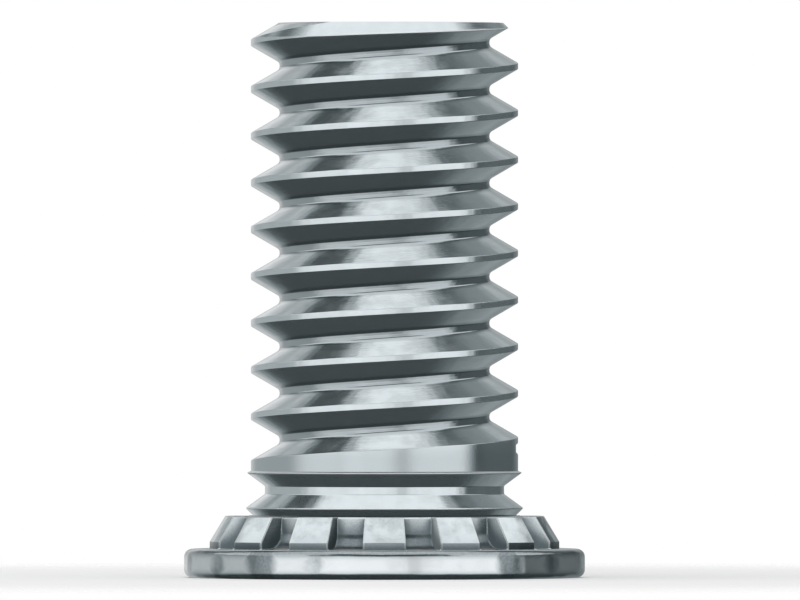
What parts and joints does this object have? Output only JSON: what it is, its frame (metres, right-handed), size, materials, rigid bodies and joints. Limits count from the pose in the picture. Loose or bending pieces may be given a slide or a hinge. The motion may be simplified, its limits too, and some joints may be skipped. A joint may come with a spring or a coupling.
{
  "type": "self-clinching stud",
  "caption": "Flush-head self-clinching stud: a thin round head with a ring of clinching ribs, an undercut displacer collar and a fine right-hand metric thread.",
  "frame": {"origin": "centre of the head's flush face, on the thread's axis", "axes": "+Z along the thread's axis, from the head to the free end; +X and +Y across it, with one clinching rib centred on -Y"},
  "size_m": [0.006, 0.006, 0.0083],
  "materials": {
    "plated_steel": "bright zinc-plated steel, cold headed and thread rolled"
  },
  "bodies": {
    "root": {"stud": "plated_steel"}
  },
  "joints": []
}
